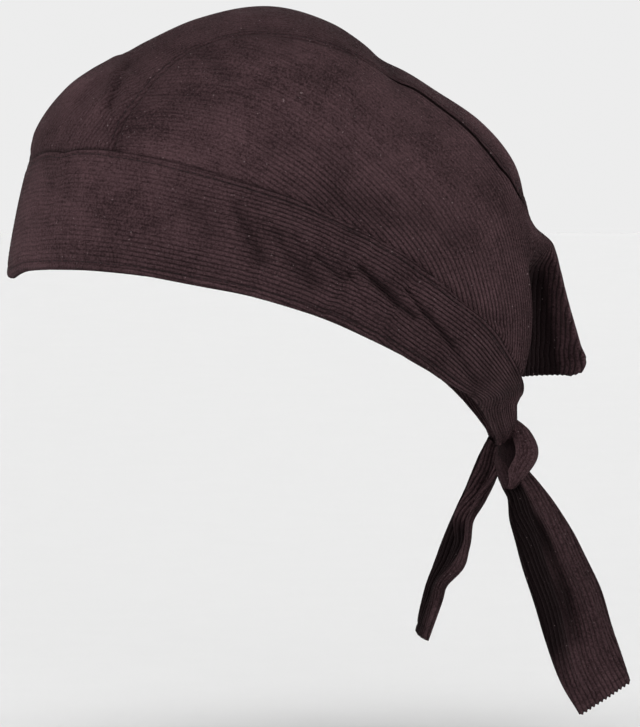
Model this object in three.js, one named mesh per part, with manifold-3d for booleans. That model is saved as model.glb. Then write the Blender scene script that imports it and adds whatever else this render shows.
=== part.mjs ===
// A tied skullcap of dark brown needlecord, in the form it has on a head: a wide headband, a long
// panel from the brow over the top, a panel on each side, a tail flap over the nape, and the two
// ends of the band knotted below it.
// Millimetres. X runs to the wearer's left, Y to the back and Z up. The origin is in the middle of
// the head opening, level with the front edge of the band.
import * as THREE from "three";
import { mergeVertices } from "three/addons/utils/BufferGeometryUtils.js";
import Module from "manifold-3d";

// Driving sizes
const CROWN_CLOTH = 1.6;
const BAND_CLOTH = 2.4;
const TIE_CLOTH = 2.2;
const BAND_RISE = 0.4;
const SEAM_GAP = 0.3;
const JOIN_GAP = 0.7;
const KNOT_GAP = 0.3;
const SHELL_ROUND = 2.6;
const SHELL_SQUARE = 2.4;
const FLAP_EDGE = 27;
const FLAP_SPREAD = 40;
const HEM_ANGLE = 169.5;
const CORD_BROWN = 0x3f3133;

// Turns a line of column names and rows of numbers into rows with named values.
function table(columns, rows) {
  const names = columns.split(" ");
  return rows.map((row) => Object.fromEntries(names.map((name, i) => [name, row[i]])));
}

// A smooth curve through one column of a table, read where another column has the value asked for.
function smooth(rows, key, column, at) {
  const last = rows.length - 1;
  const slope = (j) => {
    const before = rows[Math.max(j - 1, 0)];
    const after = rows[Math.min(j + 1, last)];
    return (after[column] - before[column]) / (after[key] - before[key]);
  };
  let i = 0;
  while (i < last - 1 && at > rows[i + 1][key]) i++;
  const span = rows[i + 1][key] - rows[i][key];
  const u = THREE.MathUtils.clamp((at - rows[i][key]) / span, 0, 1);
  const ease = u * u * (3 - 2 * u);
  const level = rows[i][column] + (rows[i + 1][column] - rows[i][column]) * ease;
  const leave = slope(i) * span * u * (1 - u) * (1 - u);
  const arrive = slope(i + 1) * span * u * u * (1 - u);
  return level + leave - arrive;
}

// The shell that the cap follows. Its rays leave the heart in the plane of symmetry, at an angle
// from straight ahead, up and over to the back.
const HEART = { y: 1.6, z: -58.4 };

function polar(y, z) {
  const forward = HEART.y - y;
  const up = z - HEART.z;
  const angle = THREE.MathUtils.radToDeg(Math.atan2(up, forward));
  return { angle: angle < -90 ? angle + 360 : angle, radius: Math.hypot(forward, up) };
}

// The line over the middle of the cap from the brow to the nape, and how wide the shell is there.
const PROFILE = table("y z half_width", [
  [-105.2, 0, 77],
  [-101.8, 24, 77],
  [-96.3, 47.5, 77],
  [-93.8, 60, 77],
  [-81.5, 77, 77],
  [-71.5, 84.6, 77],
  [-60, 90.3, 77],
  [-47, 96.8, 77],
  [-27, 105.5, 77],
  [1.5, 110.3, 77],
  [26, 103.7, 77],
  [45, 91.3, 77],
  [67, 77.3, 77],
  [87.5, 63, 77],
  [100.5, 47, 77],
  [105, 32, 77],
  [107.5, 18, 77],
  [111, 0, 76],
  [112, -20, 73],
  [109, -38, 68],
  [104.5, -50, 54],
  [102.5, -61, 34],
  [101, -68, 20],
]).map((row) => ({ ...row, ...polar(row.y, row.z) }));

// A point of the shell. The lean is 0 on the line of symmetry and a quarter turn at the side.
function shell({ angle, lean }) {
  const side = Math.sin(lean);
  const share = (1 - Math.abs(side) ** SHELL_SQUARE) ** (1 / SHELL_ROUND);
  const reach = share * smooth(PROFILE, "angle", "radius", angle);
  const turn = THREE.MathUtils.degToRad(angle);
  return new THREE.Vector3(
    side * smooth(PROFILE, "angle", "half_width", angle),
    HEART.y - reach * Math.cos(turn),
    HEART.z + reach * Math.sin(turn),
  );
}

// Where the shell stands over a point of the side view.
function onShell(y, z) {
  const { angle, radius } = polar(y, z);
  const share = Math.min(radius / smooth(PROFILE, "angle", "radius", angle), 1);
  return { angle, lean: Math.asin((1 - share ** SHELL_ROUND) ** (1 / SHELL_SQUARE)) };
}

// The way out of the shell at one of its points.
function outward(point, angle) {
  const wide = smooth(PROFILE, "angle", "half_width", angle) ** 2;
  const long = smooth(PROFILE, "angle", "radius", angle) ** 2;
  const out = new THREE.Vector3(point.x / wide, (point.y - HEART.y) / long, (point.z - HEART.z) / long);
  return out.normalize();
}

// Puckers and pleats, each a line in the side view with its width, and its height or depth.
const FOLDS = table("y1 z1 y2 z2 width height", [
  // puckers at the front of the center panel
  [-60, 83, -66, 67, 3.5, 1.6],
  [-65, 81, -72, 72, 3, 1],
  [-70, 80, -77, 74, 4, -1.3],
  [-55, 94, -58, 86, 3, -1],
  // the dip where the crown turns down to the back
  [47, 91, 51, 80, 5, -1.3],
  // dents under the front of the seam
  [-27, 91, -20, 84, 4, -0.9],
  [-41, 77, -26, 72, 5, -0.8],
  // dent and pleats of the band
  [-36, 33, -29, 24, 5, -1.0],
  [29, 10, 39, 0, 4, -1.8],
  [39, 0, 51, -10, 4, -1.8],
  [31, 14, 57, -10, 3.5, 1.2],
  [52, -1, 69, -22, 4, -1.3],
]);

function foldHeight(y, z) {
  let height = 0;
  for (const fold of FOLDS) {
    const along = { y: fold.y2 - fold.y1, z: fold.z2 - fold.z1 };
    const length = along.y ** 2 + along.z ** 2;
    const share = ((y - fold.y1) * along.y + (z - fold.z1) * along.z) / length;
    const nearest = THREE.MathUtils.clamp(share, 0, 1);
    const away = Math.hypot(y - fold.y1 - nearest * along.y, z - fold.z1 - nearest * along.z);
    height += fold.height * Math.exp(-((away / fold.width) ** 2));
  }
  return height;
}

function onCap(place, rise) {
  const point = shell(place);
  const lift = rise + foldHeight(point.y, point.z);
  return point.addScaledVector(outward(point, place.angle), lift);
}

// The tail flap: how far its ridge stands out from the shell, and how much of the hollow beside the
// ridge has opened, from the hem up.
const FLAP = table("z reach hollow", [
  [-42, 20, 1],
  [-35, 21.3, 1],
  [-28, 17.4, 1],
  [-14, 12.4, 0.95],
  [2, 9.6, 0.6],
  [10, 9.2, 0.2],
  [14, 8.2, 0],
  [20, 2.6, 0],
  [27, 0, 0],
  [40, 0, 0],
]);

// The flap's section: a share of the way from the ridge to the edge of the hollow on the shell, and
// the place to the side and the share of the reach that this share has.
const HOLLOW = table("share side reach", [
  [0, 0, 0.96],
  [0.24, 6.5, 1],
  [0.36, 9.4, 0.9],
  [0.52, 11, 0.55],
  [0.68, 12.6, 0.22],
  [0.84, 17.6, 0.05],
  [0.93, 23.2, 0.01],
  [1, 27, 0],
  [1.2, 32.4, 0],
]);

function onCrown(place) {
  const point = onCap(place, 0);
  const away = Math.abs(point.x);
  if (point.y < 0 || away > FLAP_SPREAD) return point;
  const reach = smooth(FLAP, "z", "reach", point.z);
  const open = smooth(FLAP, "z", "hollow", point.z);
  const share = away / FLAP_EDGE;
  const inHollow = share < HOLLOW.at(-1).share;
  const side = inHollow ? smooth(HOLLOW, "share", "side", share) : away;
  const folded = inHollow ? smooth(HOLLOW, "share", "reach", share) : 0;
  const tent = (1 - (away / FLAP_SPREAD) ** 2) ** 2;
  point.x = Math.sign(point.x) * THREE.MathUtils.lerp(away, side, open);
  point.y += reach * THREE.MathUtils.lerp(tent, folded, open);
  return point;
}

// The headband from the brow to the knot: its lower edge and the seam along its top.
const CORNER_ROW = 3;
const JOIN_ROW = 12;
const BAND = table("rim_y rim_z seam_y seam_z", [
  [-105.2, 0, -96.3, 48.5],
  [-100, 5, -88, 53],
  [-89.5, 6.3, -77, 54.5],
  [-74.5, 6.3, -66.5, 54],
  [-55, 4.5, -45.7, 50.3],
  [-35, 1, -17.7, 42.8],
  [-14.5, -3, 6.6, 34.3],
  [6, -9, 29.2, 23.8],
  [16.3, -12.6, 39.6, 18.2],
  [26.5, -17, 49.8, 12.2],
  [47.3, -27.3, 66.5, -1.2],
  [64.5, -38, 86, -18.4],
  [77, -46, 102, -42.5],
  [84.5, -53.5, 100.8, -51.5],
  [91.5, -63.5, 102.2, -61.5],
  [94.5, -69, 100, -65.5],
]);

// The same edges as places on the shell, for both sides of the cap.
const BAND_ROWS = BAND.map((row, i) => {
  const rim = onShell(row.rim_y, row.rim_z);
  const seam = onShell(row.seam_y, row.seam_z);
  const places = { rim_angle: rim.angle, rim_lean: rim.lean, seam_angle: seam.angle, seam_lean: seam.lean };
  return { ...row, ...places, row: i };
});
const BOTH_SIDES = BAND_ROWS.slice(1)
  .reverse()
  .map((row) => ({ ...row, row: -row.row, rim_lean: -row.rim_lean, seam_lean: -row.seam_lean }))
  .concat(BAND_ROWS);

// A place on the "rim" or the "seam" of the band. It follows the angle and lean of the rows over the
// brow, and their places in the side view from there on.
const BROW_ROWS = { from: 1, to: 2 };

function edgePlace(edge, row) {
  const side = Math.abs(row);
  const over = (column) => smooth(BOTH_SIDES, "row", `${edge}_${column}`, row);
  const beside = (column) => smooth(BAND_ROWS, "row", `${edge}_${column}`, side);
  const seen = onShell(beside("y"), beside("z"));
  const share = THREE.MathUtils.smoothstep(side, BROW_ROWS.from, BROW_ROWS.to);
  return {
    angle: THREE.MathUtils.lerp(over("angle"), seen.angle, share),
    lean: THREE.MathUtils.lerp(over("lean"), Math.sign(row) * seen.lean, share),
  };
}

function between(start, end, share) {
  return {
    angle: THREE.MathUtils.lerp(start.angle, end.angle, share),
    lean: THREE.MathUtils.lerp(start.lean, end.lean, share),
  };
}

function bandPlace(row, height) {
  return between(edgePlace("rim", row), edgePlace("seam", row), height);
}

// The seam between the center panel and a side panel: its distance from the line of symmetry.
const CORNER = bandPlace(CORNER_ROW, 1);
const CENTER_SEAM = table("angle half_width", [
  [CORNER.angle, shell(CORNER).x],
  [66.5, 43.5],
  [71, 38],
  [77, 33.5],
  [84, 33],
  [91, 35.5],
  [98, 34.5],
  [105, 29.5],
  [112, 27],
  [119, 29],
  [126, 32.5],
  [132, 33],
  [136.5, 29],
  [140.3, 18],
  [146, 9],
  [152, 7],
  [HEM_ANGLE, 6.5],
]);

function seamPlace(share) {
  const angle = THREE.MathUtils.lerp(CORNER.angle, HEM_ANGLE, share);
  const half = smooth(CENTER_SEAM, "angle", "half_width", angle);
  return { angle, lean: Math.asin(half / smooth(PROFILE, "angle", "half_width", angle)) };
}

function shellDistance(start, end) {
  return shell(start).distanceTo(shell(end));
}

// Shares from 0 to 1 in equal steps.
function steps(count) {
  return Array.from({ length: count + 1 }, (_, i) => i / count);
}

// How finely each piece is divided.
const SEAM_STEPS = 36;
const FRONT_STEPS = 6;
const BAND_STEPS = 5;
const SIDE_STEPS = 15;
const TAIL_STEPS = { along: 24, across: 8 };
const KNOT_DETAIL = 5;
// The step over which the slope of a face is read, and the distance within which points are one.
const SLOPE_STEP = 1e-3;
const WELD = 1e-4;

// Where the pieces have their points along the seams, the same on both sides of each seam.
const CORNER_SHARE = 0.02;
const HEM_SHARE = 0.997;
const SEAM_SHARES = steps(SEAM_STEPS).map((share) => THREE.MathUtils.lerp(CORNER_SHARE, HEM_SHARE, share));
const FRONT_SHARES = steps(FRONT_STEPS);
const TIE_ROWS = [12.5, 13, 13.5, 14, 14.5, 15];
// Where the gap under a side panel starts to open towards the join with the tie.
const JOIN_SHARE = 0.85;
// Where the center panel starts, and how far back its front edge shapes the lines across it.
const FRONT_EDGE_SHARE = 0.0018;
const FRONT_BLEND = 0.12;

// A closed sheet of cloth. Its outer face is a function of two shares, and its inner face is set in
// along the normals by the thickness of the cloth.
function clothSolid(outer, along, across, thickness) {
  const columns = across.length;
  const faces = [[], []];
  for (const u of along) {
    for (const v of across) {
      const point = outer(u, v);
      const lengthwise = outer(u + SLOPE_STEP, v).sub(outer(u - SLOPE_STEP, v));
      const crosswise = outer(u, v + SLOPE_STEP).sub(outer(u, v - SLOPE_STEP));
      const normal = lengthwise.cross(crosswise).normalize();
      faces[0].push(point);
      faces[1].push(point.clone().addScaledVector(normal, -thickness));
    }
  }
  const inner = faces[0].length;
  const triangles = [];
  const quad = (a, b, c, d) => triangles.push(a, b, c, a, c, d);
  const at = (i, j) => i * columns + j;
  for (let i = 0; i + 1 < along.length; i++) {
    for (let j = 0; j + 1 < columns; j++) {
      quad(at(i, j), at(i + 1, j), at(i + 1, j + 1), at(i, j + 1));
      quad(inner + at(i, j), inner + at(i, j + 1), inner + at(i + 1, j + 1), inner + at(i + 1, j));
    }
    const far = columns - 1;
    quad(at(i, 0), inner + at(i, 0), inner + at(i + 1, 0), at(i + 1, 0));
    quad(at(i, far), at(i + 1, far), inner + at(i + 1, far), inner + at(i, far));
  }
  const end = along.length - 1;
  for (let j = 0; j + 1 < columns; j++) {
    quad(at(0, j), at(0, j + 1), inner + at(0, j + 1), inner + at(0, j));
    quad(at(end, j), inner + at(end, j), inner + at(end, j + 1), at(end, j + 1));
  }
  const geometry = new THREE.BufferGeometry().setFromPoints(faces.flat());
  return geometry.setIndex(triangles);
}

// The same solid on the other side of the plane of symmetry.
function mirrored(geometry) {
  const twin = geometry.clone().scale(-1, 1, 1);
  const order = twin.getIndex();
  for (let i = 0; i < order.count; i += 3) {
    const second = order.getX(i + 1);
    order.setX(i + 1, order.getX(i + 2));
    order.setX(i + 2, second);
  }
  return twin;
}

function headband() {
  const side = FRONT_SHARES.map((share) => share * CORNER_ROW)
    .concat(SEAM_SHARES.map((share) => THREE.MathUtils.lerp(CORNER_ROW, JOIN_ROW, share)))
    .concat(TIE_ROWS);
  const rows = side.slice(1).map((row) => -row).reverse().concat(side);
  const outer = (row, height) => {
    const width = shellDistance(bandPlace(row, 0), bandPlace(row, 1));
    return onCap(bandPlace(row, height * (1 - SEAM_GAP / 2 / width)), BAND_RISE);
  };
  return clothSolid(outer, rows, steps(BAND_STEPS), BAND_CLOTH);
}

// The center panel starts on the seam of the band between its two corners and ends at the hem.
function centerPanel() {
  const outer = (u, v) => {
    const side = THREE.MathUtils.lerp(1, -1, v);
    const across = Math.abs(side);
    const front = bandPlace(CORNER_ROW * across, 1);
    const edge = seamPlace(u);
    const share = THREE.MathUtils.lerp(front.lean / CORNER.lean, across, Math.min(u / FRONT_BLEND, 1));
    const trim = 1 - SEAM_GAP / 2 / shell(edge).x;
    const angle = THREE.MathUtils.lerp(front.angle, HEM_ANGLE, u);
    return onCrown({ angle, lean: Math.sign(side) * edge.lean * share * trim });
  };
  const half = FRONT_SHARES.map((share) => share / 2);
  const across = half.concat(half.slice(1).map((share) => share + 0.5));
  return clothSolid(outer, [FRONT_EDGE_SHARE, ...SEAM_SHARES], across, CROWN_CLOTH);
}

function sidePanel() {
  const outer = (u, v) => {
    const foot = bandPlace(THREE.MathUtils.lerp(CORNER_ROW, JOIN_ROW, u), 1);
    const head = seamPlace(u);
    const share = 1 / shellDistance(foot, head);
    const gap = THREE.MathUtils.lerp(SEAM_GAP / 2, JOIN_GAP, THREE.MathUtils.smoothstep(u, JOIN_SHARE, 1));
    return onCrown(between(foot, head, THREE.MathUtils.lerp(gap * share, 1 - (SEAM_GAP / 2) * share, v)));
  };
  return clothSolid(outer, SEAM_SHARES, steps(SIDE_STEPS), CROWN_CLOTH);
}

// The knot: a squashed ball with lobes, and the pocket where a tie passes in. Each row is a
// direction from its middle, and the height and spread of the lobe there.
const KNOT = { y: 101.6, z: -74.5, x_size: 10.5, y_size: 8.6, z_size: 12.6 };
const LOBES = table("x y z spread height", [
  [0.3, 1, 0.45, 0.6, 1.6],
  [1, -0.35, 0.1, 0.5, -3.2],
  [1, 0.35, 0.55, 0.45, 1.2],
  [0.9, 0.25, -0.6, 0.45, 1.3],
  [0, -0.6, -1, 0.5, 1.2],
  [-1, 0, 0, 0.5, -1.4],
]);

function knotPoint(direction, grow) {
  let lift = grow;
  for (const lobe of LOBES) {
    const aim = new THREE.Vector3(lobe.x, lobe.y, lobe.z).normalize();
    lift += lobe.height * Math.exp(-((aim.distanceTo(direction) / lobe.spread) ** 2));
  }
  return new THREE.Vector3(
    direction.x * (KNOT.x_size + lift),
    KNOT.y + direction.y * (KNOT.y_size + lift),
    KNOT.z + direction.z * (KNOT.z_size + lift),
  );
}

function knotSolid(grow) {
  const ball = mergeVertices(bare(new THREE.IcosahedronGeometry(1, KNOT_DETAIL)), WELD);
  const place = ball.getAttribute("position");
  for (let i = 0; i < place.count; i++) {
    const direction = new THREE.Vector3().fromBufferAttribute(place, i).normalize();
    place.setXYZ(i, ...knotPoint(direction, grow));
  }
  return ball;
}

// The hanging ends: the front and the back edge of each strip, from inside the knot down.
const TAIL_LEFT = table("row front_x front_y front_z back_x back_y back_z", [
  [0, 3, 105.5, -76, 5, 107, -77],
  [1, 3, 98, -86, 5, 106, -78.5],
  [2, 5, 99, -92.6, 8, 111.4, -85.2],
  [3, 7, 99.6, -100.7, 10, 117.6, -93],
  [4, 8.5, 102.5, -110.9, 11, 125.3, -104.8],
  [5, 9, 105.7, -122, 11, 131, -115.8],
  [6, 9, 110.2, -135, 10, 137.4, -128.9],
  [7, 9, 114.7, -149.7, 9, 142, -143.6],
  [8, 8.5, 120.8, -166.9, 8, 146.6, -157.5],
  [9, 8, 128.6, -180.3, 7, 149.8, -166.9],
]);
const TAIL_RIGHT = table("row front_x front_y front_z back_x back_y back_z", [
  [0, -6, 95.4, -73.4, -3, 97.5, -79.5],
  [1, -12, 89, -77, -4, 95, -83.7],
  [2, -17, 86, -83.8, -5, 92.2, -88],
  [3, -21, 82.2, -92.6, -4, 89, -92.7],
  [4, -23, 79, -101, -3, 82.4, -98.8],
  [5, -25, 75.7, -109.6, -3, 81.2, -110.2],
  [6, -25, 72.4, -118.6, -2, 80.3, -117.4],
  [7, -25, 69, -128, -3, 73.4, -126.5],
  [8, -25, 66.6, -137, -3, 70.9, -133.8],
  [9, -25, 64.2, -148.7, -3, 65.4, -149],
]);

// The lengthwise folds of a hanging end: where they lie across it, and their width and height.
// They open out between two rows below the knot, and are flatter in the far tail.
const TAIL_FOLDS = table("across width height", [
  [0.22, 0.16, -2.2],
  [0.5, 0.12, 1.4],
  [0.8, 0.12, 1.2],
]);
const TAIL_OPENS = { from: 0.5, to: 3 };
const NEAR_TAIL_FOLDS = 1;
const FAR_TAIL_FOLDS = 0.6;

function tailSolid(edges, foldShare) {
  const last = edges.length - 1;
  const outer = (u, across) => {
    const row = u * last;
    const read = (column) => smooth(edges, "row", column, row);
    const front = new THREE.Vector3(read("front_x"), read("front_y"), read("front_z"));
    const back = new THREE.Vector3(read("back_x"), read("back_y"), read("back_z"));
    const width = back.clone().sub(front);
    const out = new THREE.Vector3(0, width.z, -width.y).cross(width).normalize();
    let height = 0;
    for (const fold of TAIL_FOLDS) {
      height += fold.height * Math.exp(-(((across - fold.across) / fold.width) ** 2));
    }
    const open = foldShare * THREE.MathUtils.smoothstep(row, TAIL_OPENS.from, TAIL_OPENS.to);
    return front.lerp(back, across).addScaledVector(out, height * open);
  };
  return clothSolid(outer, steps(TAIL_STEPS.along), steps(TAIL_STEPS.across), TIE_CLOTH);
}

// Cutting the ties where they meet the knot
const wasm = await Module();
wasm.setup();

function bare(geometry) {
  for (const name of Object.keys(geometry.attributes)) {
    if (name !== "position") geometry.deleteAttribute(name);
  }
  return geometry;
}

function asManifold(geometry) {
  const merged = mergeVertices(bare(geometry), WELD);
  const vertProperties = merged.getAttribute("position").array;
  const triVerts = new Uint32Array(merged.getIndex().array);
  return new wasm.Manifold(new wasm.Mesh({ numProp: 3, vertProperties, triVerts }));
}

function cutBy(geometry, tool) {
  const left = asManifold(geometry).subtract(asManifold(tool));
  const [largest] = left.decompose().sort((a, b) => b.volume() - a.volume());
  const mesh = largest.getMesh();
  const cut = new THREE.BufferGeometry();
  cut.setAttribute("position", new THREE.BufferAttribute(mesh.vertProperties, 3));
  return cut.setIndex(new THREE.BufferAttribute(mesh.triVerts, 1));
}

const cap = new THREE.Group();

function add(name, geometry) {
  const cord = new THREE.MeshStandardMaterial({ color: CORD_BROWN, roughness: 0.95, metalness: 0 });
  const piece = new THREE.Mesh(geometry, cord);
  piece.name = name;
  cap.add(piece);
}

const sideLeft = sidePanel();
const knotRoom = knotSolid(KNOT_GAP);
add("headband", cutBy(headband(), knotRoom));
add("crown_center_panel", centerPanel());
add("crown_side_left", sideLeft);
add("crown_side_right", mirrored(sideLeft));
add("tie_knot", knotSolid(0));
add("tie_tail_left", cutBy(tailSolid(TAIL_LEFT, NEAR_TAIL_FOLDS), knotRoom));
add("tie_tail_right", cutBy(tailSolid(TAIL_RIGHT, FAR_TAIL_FOLDS), knotRoom));

export default cap;
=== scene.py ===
"""The tied needlecord skullcap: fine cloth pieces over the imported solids, with camera, light and floor.

Forms are worked out in millimetres and written to the meshes in metres. X runs to the wearer's left,
Y to the back and Z up.
"""

import math

import bpy
import numpy as np
from mathutils import Matrix, Vector


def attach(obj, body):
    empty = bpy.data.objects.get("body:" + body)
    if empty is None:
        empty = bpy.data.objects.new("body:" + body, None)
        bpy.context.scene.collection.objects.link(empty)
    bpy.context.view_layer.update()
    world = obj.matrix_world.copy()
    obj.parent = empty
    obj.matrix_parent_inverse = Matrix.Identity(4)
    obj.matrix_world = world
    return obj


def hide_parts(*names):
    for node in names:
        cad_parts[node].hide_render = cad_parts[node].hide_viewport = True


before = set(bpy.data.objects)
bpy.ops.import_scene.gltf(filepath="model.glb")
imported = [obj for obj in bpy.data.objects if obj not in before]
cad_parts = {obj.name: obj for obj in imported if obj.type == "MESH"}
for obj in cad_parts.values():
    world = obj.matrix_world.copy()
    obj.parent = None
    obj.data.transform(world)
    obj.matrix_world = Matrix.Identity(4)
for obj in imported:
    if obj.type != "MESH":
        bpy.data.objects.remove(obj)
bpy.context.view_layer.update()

# Sizes are in millimetres and angles in degrees
MM = 0.001

# Cloth: its ribs and thickness, how far pieces lap at a seam, and how far rib ends stand out at a hem
RIB_PITCH = 1.9
RIB_HEIGHT = 0.4
CROWN_CLOTH = 1.6
BAND_CLOTH = 2.4
TIE_CLOTH = 2.2
SEAM_LAP = 0.2
NOTCH = 0.8
NOTCH_LENGTH = 1.2

# Sewing: the valley at a seam, the groove of a row of stitches, the thread, and the band's gathered ends
SEAM_DEPTH = 0.5
SEAM_SWELL = 0.2
GROOVE_DEPTH = 0.35
GROOVE_WIDTH = 0.55
STITCH_STEP = 2.9
STITCH_LENGTH = 2.3
STITCH_SIDES = 6
STITCH_LIFT = 0.05
THREAD = 0.42
GATHERS = 3
GATHER_DEPTH = 0.35

# How far each row of stitches is from its edge
RIM_STITCH = 3.4
BAND_STITCH = 2.5
CENTER_STITCH = 2.1
HEM_STITCH = 5
TIE_END_STITCH = 4
TIE_EDGE_STITCH = 1.8

# The rib that each piece is counted from, high enough for all numbers to be above zero
BAND_RIB = 40
CENTER_RIB = 60.5
SIDE_RIB = 200
TIE_RIB = 20.5

# Form: the heart that the shell is measured from, how square its sections are, the band and the flap
HEART_Y = 1.6
HEART_Z = -58.4
SHELL_ROUND = 2.6
SHELL_SQUARE = 2.4
BAND_RISE = 0.4
BAND_WIDTH = 49
BAND_LEAST_WIDTH = 8
FLAP_EDGE = 27
FLAP_SPREAD = 40
HEM_ANGLE = 169.5

# Rows and columns of each grid, and how much coarser the inner face of a cloth is
BAND_GRID = (509, 129)
CENTER_GRID = (301, 193)
SIDE_GRID = (617, 137)
SIDE_COARSE_GRID = (37, 23)
TAIL_GRID = (121, 77)
STRAND_GRID = (120, 73)
INNER_STEP = 4
TAIL_INNER_STEP = 2
CURVE_STEPS = 1500


# Tables and curves


def table(columns, rows):
    """One array for each column name."""
    return dict(zip(columns.split(), np.array(rows, float).T))


def smooth(rows, key, column, at):
    """A smooth curve through one column of a table, read where the key column has the value asked for."""
    x = rows[key]
    y = rows[column]
    last = len(x) - 1
    before = np.maximum(np.arange(last + 1) - 1, 0)
    after = np.minimum(np.arange(last + 1) + 1, last)
    slope = (y[after] - y[before]) / (x[after] - x[before])
    i = np.searchsorted(x[1:last], at)
    span = x[i + 1] - x[i]
    u = np.clip((at - x[i]) / span, 0, 1)
    level = y[i] + (y[i + 1] - y[i]) * u * u * (3 - 2 * u)
    return level + slope[i] * span * u * (1 - u) ** 2 - slope[i + 1] * span * u * u * (1 - u)


def lerp(start, end, share):
    """A share of the way from start to end."""
    return start + (end - start) * share


def ease(low, high, value):
    """0 below low, 1 above high and a smooth rise between."""
    share = np.clip((value - low) / (high - low), 0, 1)
    return share * share * (3 - 2 * share)


def bell(value, width):
    """1 at zero, fading to both sides."""
    return np.exp(-((value / width) ** 2))


def unit(vectors):
    """The same directions, each 1 long."""
    return vectors / np.linalg.norm(vectors, axis=-1, keepdims=True)


# The shell that the cap follows


def polar(y, z):
    """The angle and length of the ray from the heart of the shell to a point of the side view."""
    angle = np.degrees(np.arctan2(z - HEART_Z, HEART_Y - y))
    return np.where(angle < -90, angle + 360, angle), np.hypot(HEART_Y - y, z - HEART_Z)


PROFILE = table(
    "y z half_width",
    [
        (-105.2, 0, 77),
        (-101.8, 24, 77),
        (-96.3, 47.5, 77),
        (-93.8, 60, 77),
        (-81.5, 77, 77),
        (-71.5, 84.6, 77),
        (-60, 90.3, 77),
        (-47, 96.8, 77),
        (-27, 105.5, 77),
        (1.5, 110.3, 77),
        (26, 103.7, 77),
        (45, 91.3, 77),
        (67, 77.3, 77),
        (87.5, 63, 77),
        (100.5, 47, 77),
        (105, 32, 77),
        (107.5, 18, 77),
        (111, 0, 76),
        (112, -20, 73),
        (109, -38, 68),
        (104.5, -50, 54),
        (102.5, -61, 34),
        (101, -68, 20),
    ],
)
PROFILE["angle"], PROFILE["radius"] = polar(PROFILE["y"], PROFILE["z"])


def shell(angle, lean):
    """Points of the shell. The lean is 0 on the line of symmetry and a quarter turn at the side."""
    side = np.sin(lean)
    share = np.clip(1 - np.abs(side) ** SHELL_SQUARE, 0, 1) ** (1 / SHELL_ROUND)
    reach = share * smooth(PROFILE, "angle", "radius", angle)
    turn = np.radians(angle)
    across = side * smooth(PROFILE, "angle", "half_width", angle)
    return np.stack([across, HEART_Y - reach * np.cos(turn), HEART_Z + reach * np.sin(turn)], -1)


def on_shell(y, z):
    """The angle and lean at which the shell stands over a point of the side view."""
    angle, radius = polar(y, z)
    share = np.minimum(radius / smooth(PROFILE, "angle", "radius", angle), 1)
    return angle, np.arcsin((1 - share**SHELL_ROUND) ** (1 / SHELL_SQUARE))


def outward(points, angle):
    """The way out of the shell at its points."""
    wide = smooth(PROFILE, "angle", "half_width", angle) ** 2
    long = smooth(PROFILE, "angle", "radius", angle) ** 2
    x, y, z = np.moveaxis(points, -1, 0)
    return unit(np.stack([x / wide, (y - HEART_Y) / long, (z - HEART_Z) / long], -1))


# Pleats and dents: lines in the side view, with a width and a height or depth
FOLD_PLACES = "y1 z1 y2 z2 width height"
FOLDS = table(
    FOLD_PLACES,
    [
        (47, 91, 51, 80, 5, -1.3),
        (-27, 91, -20, 84, 4, -0.9),
        (-41, 77, -26, 72, 5, -0.8),
        (-36, 33, -29, 24, 5, -1.0),
        (31.1, 7.7, 35.5, 3.7, 1.8, -2.2),
        (35.5, 3.7, 41, -1.8, 2, -2.8),
        (41, -1.8, 46.4, -7.3, 2, -2.8),
        (46.4, -7.3, 52.8, -12.2, 1.8, -2),
        (49.6, -1.9, 55.8, -9.5, 1.5, -1.6),
        (55.8, -9.5, 60, -13.7, 1.6, -2),
        (60, -13.7, 68.6, -24.5, 1.6, -1.8),
        (68.6, -24.5, 78.6, -39, 2.2, -1.2),
        (26.1, 5, 30.8, -2.5, 1.6, -1.6),
        (30.8, -2.5, 33.3, -8.2, 1.8, -1.4),
        (7.1, 9.9, 12.7, 1.8, 1.8, -1.4),
        (12.8, 12.5, 22, 4.4, 1.5, -1.3),
        (22, 4.4, 27.4, 1, 1.5, -1.1),
        (28.1, 0.5, 34.8, -7.6, 2.8, 1.2),
        (34.8, -7.6, 44.2, -15.6, 3, 1.4),
        (43.2, 1.8, 50.4, -5.8, 2, 1.1),
        (33, 12, 47, -1, 2.6, 1),
        (-18.5, 31.7, -9.4, 11.2, 3, -1.3),
        (-2.7, 21.8, 10.7, 0, 2.2, -1.2),
        (5.2, 19.7, 14.8, 0, 2, -1),
        (-49.3, 77.9, -31.9, 78.1, 2.5, -0.5),
        (-32.2, 72.7, -7.1, 80.5, 2.5, -0.6),
        (-3.6, 102.2, 5.8, 97.6, 4, -0.7),
        (-8.2, 57, 19.2, 55.9, 4, -0.4),
        (20.6, 33.6, 69.9, 23.4, 8, -0.9),
        (69.5, -4.4, 89.1, -16.2, 2.5, -0.8),
        (71.6, -9.3, 89.2, -20.8, 2.5, 0.6),
        (83.3, 54.2, 91.6, 45.2, 2.5, -0.7),
    ],
)
# Puckers over the brow, beside the line of symmetry
PUCKERS = table(
    FOLD_PLACES,
    [
        (-60, 83, -66, 67, 3.5, 1.6),
        (-65, 81, -72, 72, 3, 1),
        (-70, 80, -77, 74, 4, -1.3),
        (-55, 94, -58, 86, 3, -1),
        (-57.5, 90, -66, 71, 1.9, -1.7),
        (-61, 89, -70.5, 70, 2.8, 1.6),
    ],
)


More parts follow.
